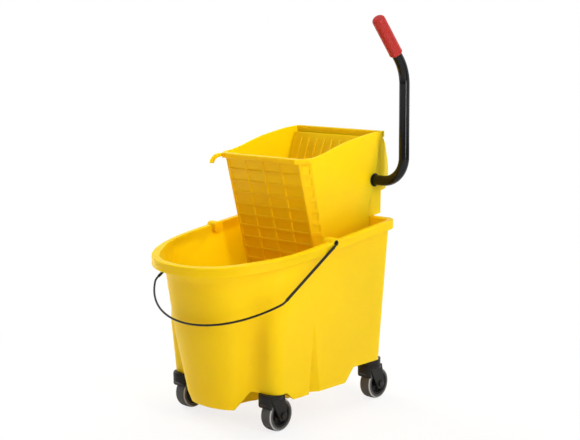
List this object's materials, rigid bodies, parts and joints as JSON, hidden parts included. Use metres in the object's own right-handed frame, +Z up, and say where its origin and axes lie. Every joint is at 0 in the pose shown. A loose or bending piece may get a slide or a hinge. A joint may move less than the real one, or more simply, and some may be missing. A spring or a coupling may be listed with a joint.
{
  "type": "mop bucket with wringer",
  "caption": "Round-nosed wheeled mop bucket with a wire bail and a lift-off side-press wringer, whose lever turns cranks that push a hinged plate against the mop.",
  "frame": {"origin": "on the floor, at the middle of the rectangle that the whole object covers", "axes": "+Z up from the floor, -Y towards the bucket's round nose, +Y towards the wringer's rear, +X towards the lever"},
  "size_m": [0.449, 0.6008, 0.9229],
  "materials": {
    "yellow_plastic": "smooth moulded",
    "black_paint": "gloss black",
    "black_plastic": "moulded black",
    "grey_rubber": "non-marking grey",
    "steel": "zinc plated",
    "white_nylon": "natural nylon",
    "red_grip": "smooth vinyl"
  },
  "bodies": {
    "tub": {"bucket_tub": "yellow_plastic", "caster_stem_front_right": "black_plastic", "caster_stem_front_left": "black_plastic", "caster_stem_rear_right": "black_plastic", "caster_stem_rear_left": "black_plastic", "bail_bush_left": "black_plastic", "bail_bush_right": "black_plastic"},
    "swivel_front_right": {"caster_fork_front_right": "black_plastic", "caster_axle_front_right": "black_paint"},
    "wheel_front_right": {"wheel_hub_front_right": "black_plastic", "wheel_tyre_front_right": "grey_rubber"},
    "swivel_front_left": {"caster_fork_front_left": "black_plastic", "caster_axle_front_left": "black_paint"},
    "wheel_front_left": {"wheel_hub_front_left": "black_plastic", "wheel_tyre_front_left": "grey_rubber"},
    "swivel_rear_right": {"caster_fork_rear_right": "black_plastic", "caster_axle_rear_right": "black_paint"},
    "wheel_rear_right": {"wheel_hub_rear_right": "black_plastic", "wheel_tyre_rear_right": "grey_rubber"},
    "swivel_rear_left": {"caster_fork_rear_left": "black_plastic", "caster_axle_rear_left": "black_paint"},
    "wheel_rear_left": {"wheel_hub_rear_left": "black_plastic", "wheel_tyre_rear_left": "grey_rubber"},
    "bail": {"bail_wire": "black_paint", "bail_sleeve_left": "black_plastic", "bail_sleeve_right": "black_plastic"},
    "wringer": {"wringer_basket": "yellow_plastic", "wringer_rear_cover": "yellow_plastic", "rear_cover_screws": "steel", "plate_hinge_rod": "steel", "rod_end_caps": "black_plastic", "shaft_bush_left": "black_plastic", "shaft_bush_right": "black_plastic", "return_spring": "steel"},
    "lever": {"lever_tube": "black_paint", "lever_grip": "red_grip", "crank_arm_left": "black_paint", "crank_arm_right": "black_paint", "crank_cross_pins": "steel", "roller_pins": "steel", "shaft_end_cap": "black_plastic", "spring_collar": "steel"},
    "plate": {"press_plate": "yellow_plastic"},
    "roller_left": {"crank_roller_left": "white_nylon"},
    "roller_right": {"crank_roller_right": "white_nylon"}
  },
  "joints": [
    {"name": "swivel_turn_front_right", "type": "hinge", "parent": "tub", "child": "swivel_front_right", "pos_m": [0.1255, -0.1475, 0.087], "axis": [0, 0, 1], "continuous": true},
    {"name": "wheel_spin_front_right", "type": "hinge", "parent": "swivel_front_right", "child": "wheel_front_right", "pos_m": [0.1255, -0.1295, 0.038], "axis": [1, 0, 0], "continuous": true},
    {"name": "swivel_turn_front_left", "type": "hinge", "parent": "tub", "child": "swivel_front_left", "pos_m": [-0.1545, -0.1475, 0.087], "axis": [0, 0, 1], "continuous": true},
    {"name": "wheel_spin_front_left", "type": "hinge", "parent": "swivel_front_left", "child": "wheel_front_left", "pos_m": [-0.1545, -0.1295, 0.038], "axis": [1, 0, 0], "continuous": true},
    {"name": "swivel_turn_rear_right", "type": "hinge", "parent": "tub", "child": "swivel_rear_right", "pos_m": [0.1255, 0.1995, 0.087], "axis": [0, 0, 1], "continuous": true},
    {"name": "wheel_spin_rear_right", "type": "hinge", "parent": "swivel_rear_right", "child": "wheel_rear_right", "pos_m": [0.1255, 0.2175, 0.038], "axis": [1, 0, 0], "continuous": true},
    {"name": "swivel_turn_rear_left", "type": "hinge", "parent": "tub", "child": "swivel_rear_left", "pos_m": [-0.1545, 0.1995, 0.087], "axis": [0, 0, 1], "continuous": true},
    {"name": "wheel_spin_rear_left", "type": "hinge", "parent": "swivel_rear_left", "child": "wheel_rear_left", "pos_m": [-0.1545, 0.2175, 0.038], "axis": [1, 0, 0], "continuous": true},
    {"name": "bail_swing", "type": "hinge", "parent": "tub", "child": "bail", "pos_m": [-0.0145, 0.0045, 0.4165], "axis": [-1, 0, 0], "range_deg": [0, 120]},
    {"name": "wringer_lift", "type": "slide", "parent": "tub", "child": "wringer", "axis": [0, 0, 1], "range_m": [0, 0.08]},
    {"name": "lever_pull", "type": "hinge", "parent": "wringer", "child": "lever", "pos_m": [-0.0145, 0.2235, 0.533], "axis": [1, 0, 0], "range_deg": [0, 100], "stiffness_Nm_per_rad": 3, "springref_deg": -45.84, "deforming": ["return_spring"]},
    {"name": "plate_press", "type": "hinge", "parent": "wringer", "child": "plate", "pos_m": [-0.0145, 0.1155, 0.318], "axis": [1, 0, 0], "range_deg": [0, 20.5]},
    {"name": "roller_spin_left", "type": "hinge", "parent": "lever", "child": "roller_left", "pos_m": [-0.0875, 0.27406, 0.57542], "axis": [1, 0, 0], "continuous": true},
    {"name": "roller_spin_right", "type": "hinge", "parent": "lever", "child": "roller_right", "pos_m": [0.0585, 0.27406, 0.57542], "axis": [1, 0, 0], "continuous": true}
  ],
  "couplings": [
    {"joint": "plate_press", "follows": "lever_pull", "ratio": 0.205}
  ]
}
